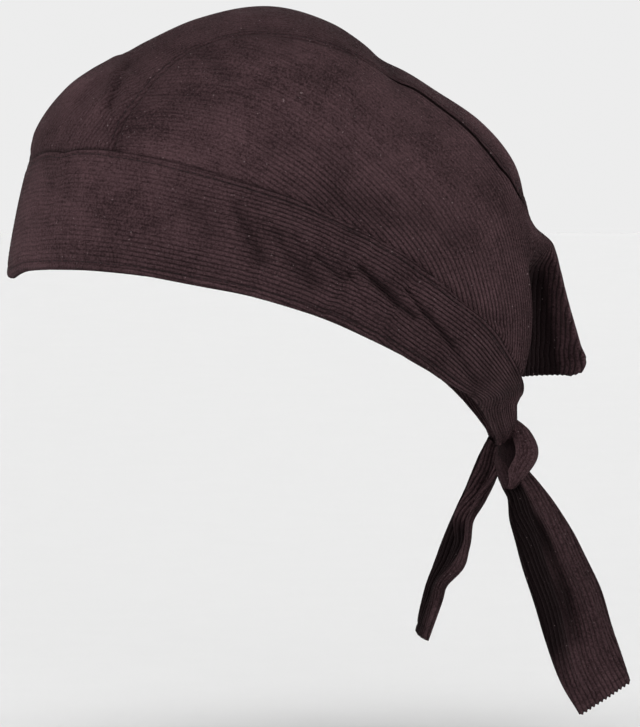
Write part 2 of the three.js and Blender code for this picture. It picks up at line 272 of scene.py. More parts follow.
def fold_height(points):
    """The highest ridge and the deepest dent at each place, added up."""
    x, y, z = np.moveaxis(points, -1, 0)
    ridge = np.zeros_like(y)
    dent = np.zeros_like(y)
    for rows, strength in ((FOLDS, 1), (PUCKERS, 0.3 + 0.7 * ease(8, 26, np.abs(x)))):
        for y1, z1, y2, z2, width, rise in zip(*rows.values()):
            along = (y2 - y1, z2 - z1)
            share = ((y - y1) * along[0] + (z - z1) * along[1]) / (along[0] ** 2 + along[1] ** 2)
            nearest = np.clip(share, 0, 1)
            away = np.hypot(y - y1 - nearest * along[0], z - z1 - nearest * along[1])
            height = strength * rise * bell(away, width)
            ridge = np.maximum(ridge, height)
            dent = np.minimum(dent, height)
    return ridge + dent


def on_cap(angle, lean, rise):
    """Points at a height over the shell, with the folds added."""
    points = shell(angle, lean)
    lift = rise + fold_height(points)
    return points + outward(points, angle) * lift[..., None]


# The tail flap: how far its ridge stands out, how much of the hollow beside it has opened, and how far the
# cloth is pulled in there
FLAP = table(
    "z reach hollow",
    [
        (-42, 20, 1),
        (-35, 21.3, 1),
        (-28, 17.4, 1),
        (-14, 12.4, 1),
        (2, 9.6, 0.85),
        (9, 9.2, 0.35),
        (14, 8.2, 0),
        (20, 2.6, 0),
        (27, 0, 0),
        (40, 0, 0),
    ],
)
HOLLOW = table(
    "share side reach pull",
    [
        (0, 0, 0.96, 0),
        (0.24, 6.5, 1, 0),
        (0.33, 8.6, 0.93, 0),
        (0.43, 7.6, 0.8, 0),
        (0.53, 4.4, 0.62, -2),
        (0.63, 4.8, 0.38, -5),
        (0.74, 9.5, 0.2, -8),
        (0.85, 17, 0.1, -9),
        (0.94, 23.6, 0.03, -7),
        (1, 26.4, 0, -5.8),
        (1.1, 29.4, 0, -3),
        (1.3, 35.1, 0, 0),
    ],
)


def on_crown(angle, lean):
    """Points of the crown, with the tail flap and the hollows beside it."""
    points = on_cap(angle, lean, 0)
    x, y, z = np.moveaxis(points, -1, 0)
    away = np.abs(x)
    reach = smooth(FLAP, "z", "reach", z)
    opened = smooth(FLAP, "z", "hollow", z)
    share = away / FLAP_EDGE
    folded = share < HOLLOW["share"][-1]
    side = np.where(folded, smooth(HOLLOW, "share", "side", share), away)
    out = np.where(folded, smooth(HOLLOW, "share", "reach", share), 0)
    pull = np.where(folded, smooth(HOLLOW, "share", "pull", share), 0)
    tent = (1 - (away / FLAP_SPREAD) ** 2) ** 2
    flap = (y > 0) & (away < FLAP_SPREAD)
    x = np.where(flap, np.sign(x) * lerp(away, side, opened), x)
    y = np.where(flap, y + reach * lerp(tent, out, opened) + opened * pull, y)
    return np.stack([x, y, z], -1)


# The headband's lower edge and the seam along its top, from the brow to the knot
CORNER_ROW = 3
JOIN_ROW = 12
BAND = table(
    "rim_y rim_z seam_y seam_z",
    [
        (-105.2, 0, -96.3, 48.5),
        (-100, 5, -88, 53),
        (-89.5, 6.3, -77, 54.5),
        (-74.5, 6.3, -66.5, 54),
        (-55, 4.5, -45.7, 50.3),
        (-35, 1, -17.7, 42.8),
        (-14.5, -3, 6.6, 34.3),
        (6, -9, 29.2, 23.8),
        (16.3, -12.6, 39.6, 18.2),
        (26.5, -17, 49.8, 12.2),
        (47.3, -27.3, 66.5, -1.2),
        (64.5, -38, 86, -18.4),
        (77, -46, 102, -42.5),
        (84.5, -53.5, 100.8, -51.5),
        (91.5, -63.5, 102.2, -61.5),
        (94.5, -69, 100, -65.5),
    ],
)
BAND["row"] = np.arange(len(BAND["rim_y"]), dtype=float)
BAND_END = BAND["row"][-1]
BAND["rim_angle"], BAND["rim_lean"] = on_shell(BAND["rim_y"], BAND["rim_z"])
BAND["seam_angle"], BAND["seam_lean"] = on_shell(BAND["seam_y"], BAND["seam_z"])


def both_sides(values, sign):
    """A column from the brow to the back, continued to the other side of the cap."""
    return np.concatenate([sign * values[:0:-1], values])


# The columns that change sign on the other side
SIGNED_COLUMNS = ("row", "rim_lean", "seam_lean")
BOTH_SIDES = {
    name: both_sides(values, -1 if name in SIGNED_COLUMNS else 1) for name, values in BAND.items()
}
# Between these rows the band passes from its brow, set by angle and lean, to its sides, set in the side view
BROW_END_ROW = 1
SIDE_START_ROW = 2


def edge_place(edge, row):
    """The angle and lean of a place on the rim or the seam of the band."""
    side = np.abs(row)
    angle, lean = (smooth(BOTH_SIDES, "row", f"{edge}_{column}", row) for column in ("angle", "lean"))
    y, z = (smooth(BAND, "row", f"{edge}_{column}", side) for column in "yz")
    seen_angle, seen_lean = on_shell(y, z)
    share = ease(BROW_END_ROW, SIDE_START_ROW, side)
    return lerp(angle, seen_angle, share), lerp(lean, np.sign(row) * seen_lean, share)


def band_place(row, height):
    """A place on the band, from 0 at the rim to 1 at the seam."""
    rim = edge_place("rim", row)
    seam = edge_place("seam", row)
    return lerp(rim[0], seam[0], height), lerp(rim[1], seam[1], height)


# The seam between the center panel and a side panel: its distance from the line of symmetry
CORNER_ANGLE, CORNER_LEAN = band_place(CORNER_ROW, 1)
CENTER_SEAM = table(
    "angle half_width",
    [
        (CORNER_ANGLE, shell(CORNER_ANGLE, CORNER_LEAN)[0]),
        (66.5, 43.5),
        (71, 38),
        (77, 33.5),
        (84, 33),
        (91, 35.5),
        (98, 34.5),
        (105, 29.5),
        (112, 27),
        (119, 29),
        (126, 32.5),
        (132, 33),
        (136.5, 29),
        (140.3, 18),
        (146, 9),
        (152, 7),
        (HEM_ANGLE, 6.5),
    ],
)


def seam_place(share):
    """A place on the seam beside the center panel, from 0 at the band to 1 at the hem."""
    angle = lerp(CORNER_ANGLE, HEM_ANGLE, share)
    half = smooth(CENTER_SEAM, "angle", "half_width", angle)
    return angle, np.arcsin(half / smooth(PROFILE, "angle", "half_width", angle))


def side_place(share, height):
    """A place on the side panel: its share of the way back and of the way up from the band."""
    foot_angle, foot_lean = band_place(lerp(CORNER_ROW, JOIN_ROW, share), 1)
    head_angle, head_lean = seam_place(share)
    return lerp(foot_angle, head_angle, height), lerp(foot_lean, head_lean, height)


# Where the panels start and end, as a share of the way from the band to the hem
CORNER_SHARE = 0.004
FRONT_EDGE_SHARE = 0.0008
HEM_SHARE = 1.003
FRONT_BLEND = 0.12
SIDE_MIDDLE = 0.6


# Grids of points: rows run along a piece and columns across it, and row x column points outward


def even_steps(curve, low, high, count):
    """Places from low to high that lie evenly along a curve."""
    dense = np.linspace(low, high, CURVE_STEPS)
    run = np.concatenate([[0], np.cumsum(np.linalg.norm(np.diff(curve(dense), axis=0), axis=1))])
    return np.interp(np.linspace(0, run[-1], count), run, dense)


def run_across(points):
    """How far each point is from the first column, along the cloth."""
    legs = np.linalg.norm(np.diff(points, axis=1), axis=-1)
    return np.concatenate([np.zeros((len(points), 1)), np.cumsum(legs, axis=1)], axis=1)


def run_along(points):
    """How far each point is from the first row, along the cloth."""
    return run_across(points.swapaxes(0, 1)).T


def normals_of(points):
    """The way out of the cloth at each point of a grid."""
    return unit(np.cross(np.gradient(points, axis=0), np.gradient(points, axis=1)))


def band_grid():
    """The headband's points, from the right end to the left and from the rim up, and the row of each."""

    def middle(row):
        return shell(*band_place(row, 0.5))

    rows, columns = BAND_GRID
    places = even_steps(middle, -BAND_END, BAND_END, rows)
    row, height = np.meshgrid(places, np.linspace(0, 1, columns), indexing="ij")
    width = np.linalg.norm(shell(*band_place(row, 0)) - shell(*band_place(row, 1)), axis=-1)
    angle, lean = band_place(row, height * (1 + SEAM_LAP / 2 / width))
    return on_cap(angle, lean, BAND_RISE), row


def center_grid():
    """The center panel's points, from the band to the hem and from the left seam to the right one."""

    def top_line(share):
        return shell(lerp(CORNER_ANGLE, HEM_ANGLE, share), 0 * share)

    rows, columns = CENTER_GRID
    share = even_steps(top_line, FRONT_EDGE_SHARE, HEM_SHARE, rows)
    u, side = np.meshgrid(share, np.linspace(1, -1, columns), indexing="ij")
    across = np.abs(side)
    front_angle, front_lean = band_place(CORNER_ROW * across, 1)
    edge_angle, edge_lean = seam_place(u)
    lean = edge_lean * lerp(front_lean / CORNER_LEAN, across, np.minimum(u / FRONT_BLEND, 1))
    spread = 1 + SEAM_LAP / 2 / shell(edge_angle, edge_lean)[..., 0]
    return on_crown(lerp(front_angle, HEM_ANGLE, u), np.sign(side) * lean * spread)


def side_grid(rows, columns):
    """The left side panel's points, from the brow to the hem and from the band up."""

    def middle(share):
        return shell(*side_place(share, SIDE_MIDDLE))

    share = even_steps(middle, CORNER_SHARE, HEM_SHARE, rows)
    u, v = np.meshgrid(share, np.linspace(0, 1, columns), indexing="ij")
    foot = shell(*side_place(u, 0))
    head = shell(*side_place(u, 1))
    lapped = SEAM_LAP / 2 / np.linalg.norm(foot - head, axis=-1)
    return on_crown(*side_place(u, lerp(-lapped, 1 + lapped, v)))


# How the ribs of the side panel run in the side view: degrees below the level, towards the back
RIB_SLOPES = table(
    "y z slope",
    [
        (-52, 67, 8),
        (-39.5, 78.7, 15),
        (-44.3, 63.2, 20),
        (-5.2, 51.5, 36),
        (4.7, 86.8, 33),
        (38.8, 25.3, 47),
        (38.5, 62.6, 45),
        (58.4, 44.7, 48),
        (67.7, 20.8, 58),
        (71.4, -5.3, 63),
        (89.2, -10.2, 76),
        (86.3, 27.9, 64),
        (98.8, -23.2, 90),
        (106, 5, 85),
        (116, -5, 90),
        (120, -35, 90),
    ],
)
# The square of the distance over which one row of slopes blends into the next
SLOPE_BLEND = 60


def rib_direction(points):
    """The way that the ribs run at each point, in the plane of the cloth."""
    y = points[..., 1]
    z = points[..., 2]
    total = np.zeros_like(y)
    weight = np.zeros_like(y)
    for row_y, row_z, slope in zip(*RIB_SLOPES.values()):
        near = 1 / ((y - row_y) ** 2 + (z - row_z) ** 2 + SLOPE_BLEND) ** 1.5
        total += near * slope
        weight += near
    turn = np.radians(total / weight)
    down = np.stack([np.zeros_like(turn), np.cos(turn), -np.sin(turn)], -1)
    normal = normals_of(points)
    return unit(down - normal * np.sum(down * normal, -1, keepdims=True)), normal


def rib_places(rows, columns):
    """Across the ribs of the side panel in millimetres, by least squares on a coarse grid."""
    coarse = SIDE_COARSE_GRID
    points = side_grid(*coarse)
    along, normal = rib_direction(points)
    across = np.cross(normal, along)
    number = np.arange(points[..., 0].size).reshape(coarse)
    pairs = [(number[:-1], number[1:]), (number[:, :-1], number[:, 1:])]
    start = np.concatenate([pair[0].ravel() for pair in pairs])
    end = np.concatenate([pair[1].ravel() for pair in pairs])
    flat = points.reshape(-1, 3)
    way = across.reshape(-1, 3)
    want = np.sum((flat[end] - flat[start]) * (way[start] + way[end]) / 2, -1)
    match = np.zeros((len(start), len(flat)))
    match[np.arange(len(start)), start] = -1
    match[np.arange(len(start)), end] = 1
    found = np.linalg.lstsq(match, want, rcond=None)[0].reshape(coarse)
    return between(coarse[0], rows) @ found @ between(coarse[1], columns).T


def between(coarse, fine):
    """The matrix that reads a smooth curve through evenly spaced values at finer steps."""
    at = np.linspace(0, 1, coarse)
    steps = np.linspace(0, 1, fine)
    return np.stack([smooth({"at": at, "value": row}, "at", "value", steps) for row in np.eye(coarse)], 1)


# Relief of sewn cloth, in millimetres from an edge


def rib_relief(count):
    """Rounded ribs with narrow grooves. The count is in ribs."""
    return RIB_HEIGHT * (1 - np.abs(2 * (count % 1) - 1) ** 3)


def turned_edge(distance, thickness):
    """The rounded fold at an edge of the cloth."""
    radius = thickness / 2
    inside = np.clip(1 - distance / radius, 0, 1)
    return -radius * (1 - np.sqrt(1 - inside**2))


def seam_valley(distance):
    """The cloth sinks into a seam and swells beside it."""
    return SEAM_SWELL * bell(distance - 3.2, 1.8) - SEAM_DEPTH * bell(distance, 0.9)


def stitch_groove(distance, at):
    """The groove that a row of stitches draws in."""
    return -GROOVE_DEPTH * bell(distance - at, GROOVE_WIDTH)


def painted_fold_shade(points):
    """Painted shade in the folds, from 0 to 1."""
    return np.clip(-0.3 * fold_height(points), 0, 0.6)


def painted_hollow_shade(points):
    """Painted shade in the hollow beside the flap, up to the ridge that catches the light."""
    x, y, z = np.moveaxis(points, -1, 0)
    beside_flap = ease(42, 25, np.abs(x))
    under_swell = ease(18, -3, z)
    before_ridge = ease(2.5, -2.5, y - (115 - 0.16 * z))
    behind_panel = ease(94, 104, y)
    return 0.97 * beside_flap * under_swell * before_ridge * behind_panel


def notched(points, to_hem, count):
    """The same grid with the rib ends standing out along its last edge."""
    down = unit(points[-1] - points[-2])
    return points + down * (NOTCH * bell(to_hem, NOTCH_LENGTH) * np.sin(np.pi * count) ** 2)[..., None]


# Meshes


def grid_faces(numbers):
    """The corner numbers of each face of a grid."""
    corners = (numbers[:-1, :-1], numbers[1:, :-1], numbers[1:, 1:], numbers[:-1, 1:])
    return np.stack(corners, -1).reshape(-1, 4)


def zipper(outer, inner):
    """Triangles between the edge of a fine grid and the edge of a coarser one."""
    step = (len(outer) - 1) // (len(inner) - 1)
    faces = []
    for j in range(len(inner) - 1):
        for i in range(j * step, (j + 1) * step):
            faces.append((outer[i + 1], outer[i], inner[j]))
        faces.append((outer[(j + 1) * step], inner[j], inner[j + 1]))
    return faces


def new_mesh(name, points, faces, cord=None, clear=None, material_index=None):
    """A smooth object from points in millimetres."""
    mesh = bpy.data.meshes.new(name)
    mesh.from_pydata((points * MM).tolist(), [], faces)
    mesh.shade_smooth()
    if cord is not None:
        mesh.attributes.new("cord", "FLOAT_VECTOR", "POINT").data.foreach_set("vector", cord.ravel())
        mesh.attributes.new("clear", "FLOAT", "POINT").data.foreach_set("value", clear.ravel())
    if material_index is not None:
        mesh.polygons.foreach_set("material_index", material_index)
    mesh.update()
    piece = bpy.data.objects.new(name, mesh)
    bpy.context.scene.collection.objects.link(piece)
    return piece


def cloth(name, points, cord, clear, relief, thickness, materials, every=INNER_STEP):
    """A closed sheet of ribbed cloth over a grid, with a coarser inner face.

    The cord is the number of the rib, the way along it and how dark the pile is painted: the dark of the
    seams and the painted shade of folds and hollows. The clear values tell how plainly the ribs stand.
    """
    count = cord[..., 0]
    normals = normals_of(points)
    outer = points + normals * (relief + clear * rib_relief(count))[..., None]
    thin = (slice(None, None, every), slice(None, None, every))
    inner = points[thin] - normals[thin] * thickness
    numbers = np.arange(count.size).reshape(count.shape)
    below = numbers.size + np.arange(inner[..., 0].size).reshape(inner.shape[:2])
    front = grid_faces(numbers).tolist()
    back = grid_faces(below)[:, ::-1].tolist()
    rim = zipper(numbers[0], below[0]) + zipper(numbers[:, -1], below[:, -1])
    rim += zipper(numbers[-1, ::-1], below[-1, ::-1]) + zipper(numbers[::-1, 0], below[::-1, 0])
    both = np.concatenate([cord.reshape(-1, 3), cord[thin].reshape(-1, 3)])
    both_clear = np.concatenate([clear.ravel(), clear[thin].ravel()])
    slots = [0] * len(front) + [len(materials) - 1] * len(back) + [0] * len(rim)
    flat = np.concatenate([outer.reshape(-1, 3), inner.reshape(-1, 3)])
    piece = new_mesh(name, flat, front + back + rim, both, both_clear, slots)
    for material in materials:
        piece.data.materials.append(material)
    return piece, outer, normals


# Materials


class Nodes:
    """Short ways to add and join shader nodes. An input is given by its name, or as i and its number."""

    def __init__(self, name):
        self.material = bpy.data.materials.new(name)
        self.material.use_nodes = True
        self.tree = self.material.node_tree
        self.shader = self.tree.nodes["Principled BSDF"]

    def put(self, socket, value):
        if isinstance(value, bpy.types.NodeSocket):
            self.tree.links.new(value, socket)
        else:
            socket.default_value = value

    def add(self, kind, output=0, settings=None, **inputs):
        node = self.tree.nodes.new(kind)
        for name, value in (settings or {}).items():
            setattr(node, name, value)
        for name, value in inputs.items():
            numbered = name[0] == "i" and name[1:].isdigit()
            self.put(node.inputs[int(name[1:]) if numbered else name], value)
        return node.outputs[output]

    def math(self, operation, first, second=0.0):
        return self.add("ShaderNodeMath", settings={"operation": operation}, i0=first, i1=second)

    def mix(self, share, first, second):
        return self.add("ShaderNodeMix", 2, {"data_type": "RGBA"}, i0=share, i6=first, i7=second)

    def noise(self, vector, scale, detail=3.0, roughness=0.6):
        return self.add("ShaderNodeTexNoise", Vector=vector, Scale=scale, Detail=detail, Roughness=roughness)

    def spread(self, value, low, high, to_low=0.0, to_high=1.0):
        inputs = {"i0": value, "i1": low, "i2": high, "i3": to_low, "i4": to_high}
        return self.add("ShaderNodeMapRange", **inputs)


# Colours of the cloth: pile from darker to lighter tone, grooves (partly painted shade; this colour also
# darkens seams and paints the shade of folds, hollows and knots), and lint
DARK_PILE = (0.0165, 0.0088, 0.0098)
LIGHT_PILE = (0.061, 0.0335, 0.0375)
GROOVE_AND_PAINTED_SHADE = (0.0055, 0.0029, 0.0033)
LINT = (0.20, 0.15, 0.155)
BACK_DARK = (0.013, 0.007, 0.008, 1)
BACK_LIGHT = (0.048, 0.027, 0.030, 1)
THREAD_DARK = (0.005, 0.0026, 0.003, 1)
THREAD_LIGHT = (0.016, 0.009, 0.010, 1)


def needlecord(name, rib_depth, shade):
    """Cut-pile ribs: darker in the grooves, partly their own dark and partly painted shade, streaked along
    the ribs, fuzzy and with a little lint.

    The shade sets how light the pile is painted: partly from the way that a piece was cut and partly as
    painted light and shade on the whole piece.
    """
    n = Nodes(name)
    dark, light, seam_and_painted_shade, lint = (
        (*(shade * part for part in colour), 1) for colour in (DARK_PILE, LIGHT_PILE, GROOVE_AND_PAINTED_SHADE, LINT)
    )
    place = n.add("ShaderNodeTexCoord", "Object")
    cord = n.add("ShaderNodeAttribute", "Vector", {"attribute_name": "cord"})
    parts = n.tree.nodes.new("ShaderNodeSeparateXYZ")
    n.put(parts.inputs[0], cord)
    count = parts.outputs[0]
    clear = n.math("MULTIPLY", n.add("ShaderNodeAttribute", "Fac", {"attribute_name": "clear"}), rib_depth)
    away = n.math("ABSOLUTE", n.math("SUBTRACT", n.math("FRACT", count), 0.5))
    groove = n.math("POWER", n.math("MULTIPLY", away, 2.0), 3.0)
    rib_number = n.math("FLOOR", count)
    rib_shade = n.add("ShaderNodeTexWhiteNoise", "Value", {"noise_dimensions": "1D"}, W=rib_number)
    streak = n.noise(n.add("ShaderNodeMapping", Vector=cord, Scale=(2.2, 0.16, 1.0)), 1.0, 4.0, 0.65)
    fuzz = n.noise(place, 1150.0, 2.0, 0.7)
    cloud = n.noise(place, 55.0, 4.0, 0.6)
    speck = n.noise(place, 900.0, 1.0, 0.5)
    tone = n.math("ADD", n.math("MULTIPLY", streak, 0.6), n.math("MULTIPLY", cloud, 0.95))
    tone = n.math("ADD", tone, n.math("MULTIPLY", rib_shade, 0.08))
    tone = n.math("ADD", tone, n.math("MULTIPLY", fuzz, 1.7))
    pile = n.mix(n.spread(tone, 1.31, 2.0), dark, light)
    # The grooves darken, partly their own dark and partly painted shade; then the cord's third part mixes in
    # the dark of the seams and the painted shade of folds, hollows and knots
    pile = n.mix(n.math("MULTIPLY", groove, clear), pile, seam_and_painted_shade)
    pile = n.mix(parts.outputs[2], pile, seam_and_painted_shade)
    colour = n.mix(n.spread(speck, 0.75, 0.78, 0.0, 0.5), pile, lint)
    n.put(n.shader.inputs["Base Color"], colour)
    height = n.math("MULTIPLY", n.math("SUBTRACT", 1.0, groove), clear)
    height = n.math("ADD", height, n.math("MULTIPLY", fuzz, 1.3))
    height = n.math("ADD", height, n.math("MULTIPLY", streak, 0.4))
    bump = n.add("ShaderNodeBump", Strength=1.0, Distance=0.0008, Height=height)
    n.put(n.shader.inputs["Normal"], bump)
    n.shader.inputs["Roughness"].default_value = 0.92
    n.shader.inputs["Specular IOR Level"].default_value = 0.04
    n.shader.inputs["Sheen Weight"].default_value = 0.04
    n.shader.inputs["Sheen Roughness"].default_value = 0.45
    n.shader.inputs["Sheen Tint"].default_value = (0.62, 0.46, 0.46, 1)
    return n.material


def plain_back(name):
    """The plain woven back of the cloth."""
    n = Nodes(name)
    cord = n.add("ShaderNodeAttribute", "Vector", {"attribute_name": "cord"})
    place = n.add("ShaderNodeTexCoord", "Object")
    warp, weft = (
        n.add("ShaderNodeTexWave", "Fac", {"bands_direction": way}, Vector=cord, Scale=scale, Distortion=0.4)
        for way, scale in (("X", 1.6), ("Y", 0.85))
    )
    weave = n.math("MULTIPLY", warp, weft)
    cloud = n.noise(place, 60.0)
    colour = n.mix(n.math("MULTIPLY", weave, cloud), BACK_DARK, BACK_LIGHT)
    n.put(n.shader.inputs["Base Color"], colour)
    n.put(n.shader.inputs["Normal"], n.add("ShaderNodeBump", Strength=0.5, Distance=0.0002, Height=weave))
    n.shader.inputs["Roughness"].default_value = 0.9
    n.shader.inputs["Specular IOR Level"].default_value = 0.2
    return n.material


def thread_material():
    """Twisted dark thread."""
    n = Nodes("sewing_thread")
    place = n.add("ShaderNodeTexCoord", "Object")
    twist = n.noise(place, 2200.0, 2.0)
    n.put(n.shader.inputs["Base Color"], n.mix(twist, THREAD_DARK, THREAD_LIGHT))
    n.put(n.shader.inputs["Normal"], n.add("ShaderNodeBump", Strength=0.5, Distance=0.0001, Height=twist))
    n.shader.inputs["Roughness"].default_value = 0.7
    n.shader.inputs["Specular IOR Level"].default_value = 0.12
    return n.material


# The shade of each piece is partly the way its pile was cut and partly painted light: the center panel and
# the knot are painted lighter, the ties darker
cord_side = needlecord("needlecord_side", 0.75, 1.06)
cord_center = needlecord("needlecord_center", 0.75, 1.33)
cord_band = needlecord("needlecord_band", 0.75, 1.0)
cord_tie = needlecord("needlecord_tie", 0.6, 0.87)
cord_knot = needlecord("needlecord_knot", 0.5, 1.25)
cord_back = plain_back("needlecord_back")
thread = thread_material()


# Stitches


def stitches(name, lines):
    """Rows of sunk stitches: each line is its points and the way out of the cloth there."""
    ring = np.linspace(0, 2 * np.pi, STITCH_SIDES, endpoint=False)
    stations = np.linspace(-1, 1, STITCH_SIDES)
    swell = np.sqrt(np.clip(1 - stations**4, 0.02, 1))
    points = []
    faces = []
    number = np.arange(STITCH_SIDES**2).reshape(STITCH_SIDES, STITCH_SIDES)
    wrapped = np.concatenate([number, number[:, :1]], axis=1)
    template = grid_faces(wrapped)[:, ::-1]
    caps = [number[0].tolist(), number[-1, ::-1].tolist()]
    for path, out in lines:
        run = np.concatenate([[0], np.cumsum(np.linalg.norm(np.diff(path, axis=0), axis=1))])
        for middle in np.arange(STITCH_STEP / 2, run[-1] - STITCH_STEP / 2, STITCH_STEP):
            start, center, end, up = (
                np.array([np.interp(at, run, source[:, axis]) for axis in range(3)])
                for at, source in (
                    (middle - STITCH_LENGTH / 2, path),
                    (middle, path),
                    (middle + STITCH_LENGTH / 2, path),
                    (middle, out),
                )
            )
            forward = unit(end - start)
            side = unit(np.cross(up, forward))
            up = np.cross(forward, side)
            round_part = side * np.cos(ring)[:, None] + 0.7 * up * np.sin(ring)[:, None]
            lengthwise = forward * (stations * STITCH_LENGTH / 2)[:, None, None]
            around = round_part * (swell * THREAD / 2)[:, None, None]
            base = number.size * len(points)
            points.append((center + (lengthwise + around)).reshape(-1, 3))
            faces += (template + base).tolist() + [[base + i for i in cap] for cap in caps]
    piece = new_mesh(name, np.concatenate(points), faces)
    piece.data.materials.append(thread)
    return piece


def stitch_line(outer, normals, run, at, trim):
    """The line of stitches at one distance across a grid, which leaves out some rows at each end."""
    column = np.argmin(np.abs(run - at), axis=1)
    rows = np.arange(len(outer))[trim:-trim]
    out = normals[rows, column[rows]]
    return outer[rows, column[rows]] + STITCH_LIFT * out, out


# Headband
band_points, band_row = band_grid()
band_run = run_across(band_points)
band_width = band_run[:, -1:]
band_along = run_along(band_points)
from_rim = band_run
from_seam = band_width - band_run
# The ribs crowd together where the band narrows
band_least = np.maximum(band_width, BAND_LEAST_WIDTH)
crowding = 0.3 * BAND_WIDTH / band_least + 0.7
band_count = (band_run - 0.62 * band_width) * crowding / RIB_PITCH + BAND_RIB
# Over the brow the edge that is turned in at the seam shows as a step
near_front = bell(band_row, 3.2)
gather = ease(11.2, 13.6, np.abs(band_row))
band_relief = (
    turned_edge(from_rim, BAND_CLOTH)
    + turned_edge(from_seam, 0.5 * BAND_CLOTH)
    + stitch_groove(from_rim, RIM_STITCH)
    + stitch_groove(from_seam, BAND_STITCH)
    + near_front * 0.25 * (ease(6.2, 7.6, from_seam) - 1)
    + gather * GATHER_DEPTH * np.sin(band_run / band_least * 2 * np.pi * GATHERS)
)
band_back = ease(-60, 20, band_points[..., 1])
band_low = ease(0.45, 0.2, band_run / band_width) * ease(-100, -45, band_points[..., 1])
band_clear = 0.35 + 0.75 * np.maximum(band_back, 0.7 * band_low) - 0.3 * gather
# Dark lines along the seam and the rows of stitches, and painted shade in the folds
band_seams_and_painted_shade = 0.7 * bell(from_seam, 0.55)
band_seams_and_painted_shade += 0.35 * bell(from_seam - BAND_STITCH, 0.5)
band_seams_and_painted_shade += 0.35 * bell(from_rim - RIM_STITCH, 0.5)
band_cord = np.stack([band_count, band_along, np.maximum(band_seams_and_painted_shade, painted_fold_shade(band_points))], -1)
headband, band_outer, band_normals = cloth(
    "headband_cloth", band_points, band_cord, band_clear, band_relief, BAND_CLOTH, [cord_band]
)
BAND_TRIM = 48
band_lines = [
    stitch_line(band_outer, band_normals, from_rim, RIM_STITCH, BAND_TRIM),
    stitch_line(band_outer, band_normals, from_seam, BAND_STITCH, BAND_TRIM),
]
band_stitching = stitches("headband_stitching", band_lines)

# Center panel and tail flap
center_points = center_grid()
center_run = run_across(center_points)
center_width = center_run[:, -1:]
center_along = run_along(center_points)
center_edge = np.minimum(center_run, center_width - center_run)
center_count = (center_run - center_width / 2) / RIB_PITCH + CENTER_RIB
center_back = center_points[..., 1]
center_high = center_points[..., 2]
to_hem = center_along[-1:] - center_along
lap = 0.8 * bell(center_edge, 5) * ease(40, 60, center_back) * ease(20, 35, center_high)
center_relief = (
    seam_valley(center_edge)
    + lap
    + seam_valley(center_along)
    + turned_edge(to_hem, CROWN_CLOTH)
    + stitch_groove(center_edge, CENTER_STITCH)
    + stitch_groove(to_hem, HEM_STITCH)
)
center_clear = 0.45 + 0.55 * ease(70, 95, center_back)
# Dark lines along the seams and the stitches, and painted shade in the folds
center_seams_and_painted_light = 0.6 * bell(center_edge, 0.5)
center_seams_and_painted_light += 0.25 * bell(center_edge - CENTER_STITCH, 0.45)
center_seams_and_painted_light += 0.7 * bell(center_along, 0.5)
# Painted light and shade: the middle of the back and a pucker over the brow are painted lit, the rest of the
# panel is painted darker
center_painted_light = ease(70, 88, center_back) * ease(3, 13, center_edge)
center_painted_light += bell(center_back + 76, 8) * bell(center_high - 78, 9)
center_seams_and_painted_light = lerp(0.42 * (1 - center_painted_light), 1, np.maximum(center_seams_and_painted_light, painted_fold_shade(center_points)))
center, center_outer, center_normals = cloth(
    "center_panel_cloth",
    notched(center_points, to_hem, center_count),
    np.stack([center_count, center_along, center_seams_and_painted_light], -1),
    center_clear,
    center_relief,
    CROWN_CLOTH,
    [cord_center, cord_back],
)
CENTER_TRIM = 4
center_lines = [
    stitch_line(center_outer, center_normals, center_run, CENTER_STITCH, CENTER_TRIM),
    stitch_line(center_outer, center_normals, center_width - center_run, CENTER_STITCH, CENTER_TRIM),
]
center_stitching = stitches("center_panel_stitching", center_lines)

# Side panels
side_points = side_grid(*SIDE_GRID)
side_run = run_across(side_points)
to_center = side_run[:, -1:] - side_run
side_edge = np.minimum(side_run, to_center)
side_along = run_along(side_points)
side_count = rib_places(*SIDE_GRID) / RIB_PITCH + SIDE_RIB
side_to_hem = side_along[-1:] - side_along
side_back = side_points[..., 1]
side_high = side_points[..., 2]
side_lap = ease(40, 60, side_back) * ease(20, 35, side_high) * bell(to_center, 2.2)
side_relief = (
    seam_valley(side_edge)
    + turned_edge(side_to_hem, CROWN_CLOTH)
    + stitch_groove(side_to_hem, HEM_STITCH)
    - 0.3 * side_lap
)
near_band = bell(side_run, 26) * ease(-30, 20, side_back)
side_clear = 0.35 + 0.75 * np.maximum(near_band, ease(75, 100, side_back))
# Dark lines along the seams, and painted shade in the hollow beside the flap and in the folds
side_seams_and_painted_shade = 0.65 * bell(side_edge, 0.6) + painted_hollow_shade(side_points)
# Painted shade over the side panel beside the center seam, towards the brow
side_painted_shade = 0.35 * bell(to_center, 14) * ease(30, -10, side_back)
side_seams_and_painted_shade = np.clip(lerp(side_painted_shade, 1, np.maximum(side_seams_and_painted_shade, painted_fold_shade(side_points))), 0, 1)
side_points = notched(side_points, side_to_hem, side_count)
side_cord = np.stack([side_count, side_along, side_seams_and_painted_shade], -1)


def flipped(points):
    """The same grid on the other side of the cap, its columns reversed to keep it facing out."""
    return (points * (-1, 1, 1))[:, ::-1]


side_left, _, _ = cloth(
    "side_panel_cloth_left",
    side_points,
    side_cord,
    side_clear,
    side_relief,
    CROWN_CLOTH,
    [cord_side, cord_back],
)
side_right, _, _ = cloth(
    "side_panel_cloth_right",
    flipped(side_points),
    side_cord[:, ::-1],
    side_clear[:, ::-1],
    side_relief[:, ::-1],
    CROWN_CLOTH,
    [cord_side, cord_back],
)

